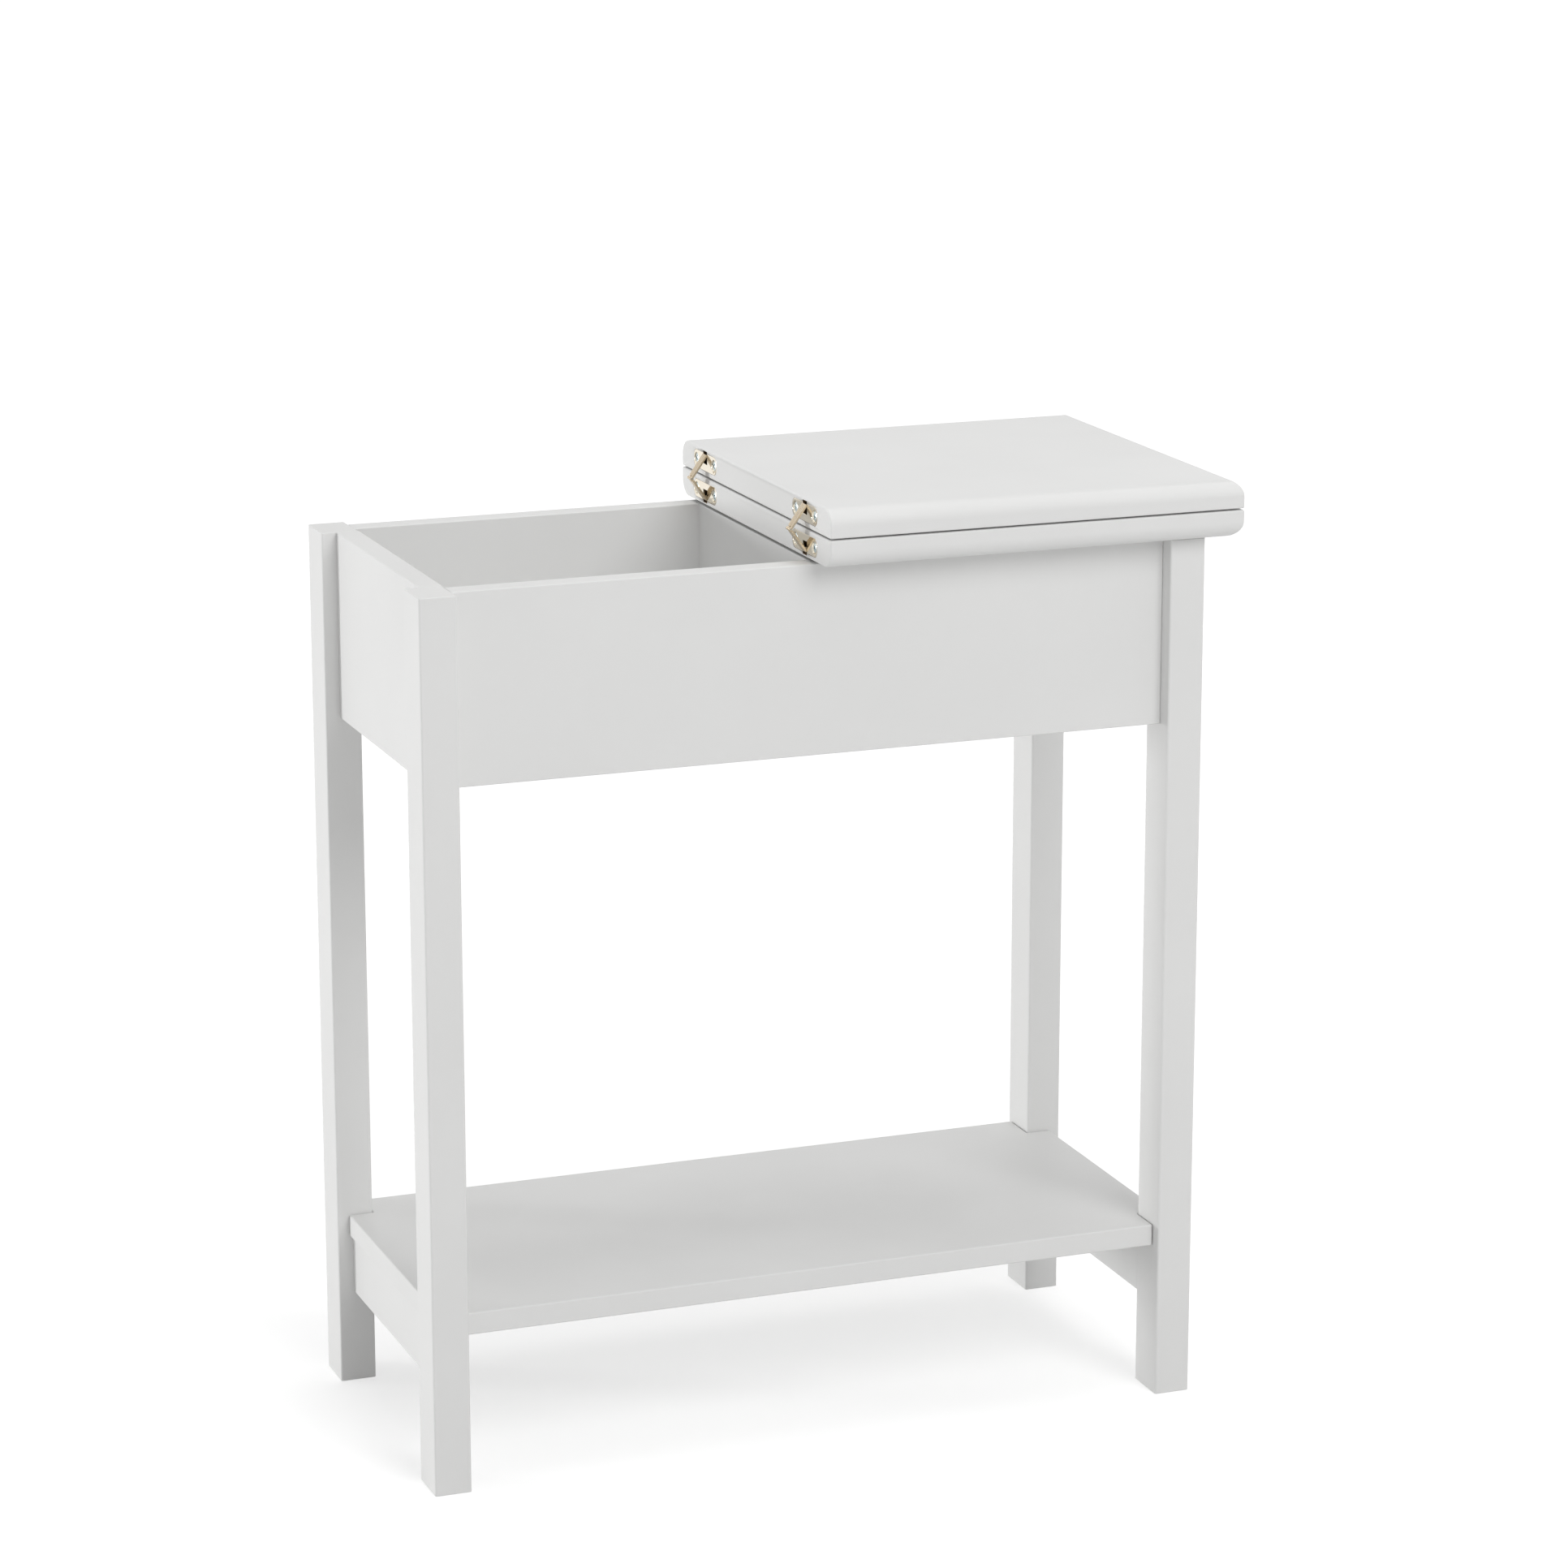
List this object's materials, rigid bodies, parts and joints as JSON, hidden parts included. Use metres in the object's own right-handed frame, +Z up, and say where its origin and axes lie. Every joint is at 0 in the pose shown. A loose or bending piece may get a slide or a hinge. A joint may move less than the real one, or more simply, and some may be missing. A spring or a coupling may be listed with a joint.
{
  "type": "fold-over top end table",
  "caption": "Narrow white end table with a storage box, a low shelf and a top whose left leaf folds over on concealed hinges.",
  "frame": {"origin": "on the floor, under the middle of the folded table", "axes": "+X to the right along the table's length, +Y to the back, +Z up"},
  "size_m": [0.562, 0.281, 0.6405],
  "materials": {
    "white_board": "white satin lacquer on MDF",
    "cleat_wood": "planed softwood",
    "hinge_cup": "nickel plated, mirror",
    "hinge_arm": "champagne plated laminations",
    "hinge_pin": "bright steel"
  },
  "bodies": {
    "frame": {"leg_front_left": "white_board", "leg_front_right": "white_board", "leg_back_left": "white_board", "leg_back_right": "white_board", "front_panel": "white_board", "right_panel": "white_board", "back_panel": "white_board", "left_panel": "white_board", "tray_bottom": "white_board", "tray_divider": "white_board", "lower_shelf": "white_board", "shelf_rail_left": "white_board", "shelf_rail_right": "white_board", "fixed_leaf": "white_board", "leaf_cleat_front": "cleat_wood", "leaf_cleat_back": "cleat_wood", "hinge_cup_lower_front": "hinge_cup", "hinge_cup_lower_rear": "hinge_cup"},
    "flip_leaf": {"flip_leaf": "white_board", "hinge_cup_upper_front": "hinge_cup", "hinge_cup_upper_rear": "hinge_cup"},
    "apex_pin_front": {"hinge_apex_pin_front": "hinge_pin"},
    "arm_lower_front": {"hinge_arm_lower_front": "hinge_arm", "hinge_tail_pin_lower_front": "hinge_pin"},
    "arm_upper_front": {"hinge_arm_upper_front": "hinge_arm", "hinge_tail_pin_upper_front": "hinge_pin"},
    "apex_pin_rear": {"hinge_apex_pin_rear": "hinge_pin"},
    "arm_lower_rear": {"hinge_arm_lower_rear": "hinge_arm", "hinge_tail_pin_lower_rear": "hinge_pin"},
    "arm_upper_rear": {"hinge_arm_upper_rear": "hinge_arm", "hinge_tail_pin_upper_rear": "hinge_pin"}
  },
  "joints": [
    {"name": "leaf_fold", "type": "hinge", "parent": "frame", "child": "flip_leaf", "pos_m": [-0.01225, 0, 0.62125], "axis": [0, -1, 0], "range_deg": [0, 180]},
    {"name": "apex_pin_front_swing", "type": "hinge", "parent": "frame", "child": "apex_pin_front", "pos_m": [-0.01225, -0.0945, 0.62125], "axis": [0, -1, 0], "range_deg": [0, 90]},
    {"name": "arm_lower_front_swing", "type": "hinge", "parent": "apex_pin_front", "child": "arm_lower_front", "pos_m": [-0.02265, -0.0945, 0.62125], "axis": [0, 1, 0], "range_deg": [0, 41.83]},
    {"name": "arm_upper_front_swing", "type": "hinge", "parent": "apex_pin_front", "child": "arm_upper_front", "pos_m": [-0.02265, -0.0945, 0.62125], "axis": [0, -1, 0], "range_deg": [0, 41.83]},
    {"name": "apex_pin_rear_swing", "type": "hinge", "parent": "frame", "child": "apex_pin_rear", "pos_m": [-0.01225, 0.0945, 0.62125], "axis": [0, -1, 0], "range_deg": [0, 90]},
    {"name": "arm_lower_rear_swing", "type": "hinge", "parent": "apex_pin_rear", "child": "arm_lower_rear", "pos_m": [-0.02265, 0.0945, 0.62125], "axis": [0, 1, 0], "range_deg": [0, 41.83]},
    {"name": "arm_upper_rear_swing", "type": "hinge", "parent": "apex_pin_rear", "child": "arm_upper_rear", "pos_m": [-0.02265, 0.0945, 0.62125], "axis": [0, -1, 0], "range_deg": [0, 41.83]}
  ],
  "couplings": [
    {"joint": "apex_pin_front_swing", "follows": "leaf_fold", "ratio": 0.5},
    {"joint": "arm_lower_front_swing", "follows": "leaf_fold", "ratio": 0.2324},
    {"joint": "arm_upper_front_swing", "follows": "leaf_fold", "ratio": 0.2324},
    {"joint": "apex_pin_rear_swing", "follows": "leaf_fold", "ratio": 0.5},
    {"joint": "arm_lower_rear_swing", "follows": "leaf_fold", "ratio": 0.2324},
    {"joint": "arm_upper_rear_swing", "follows": "leaf_fold", "ratio": 0.2324}
  ]
}
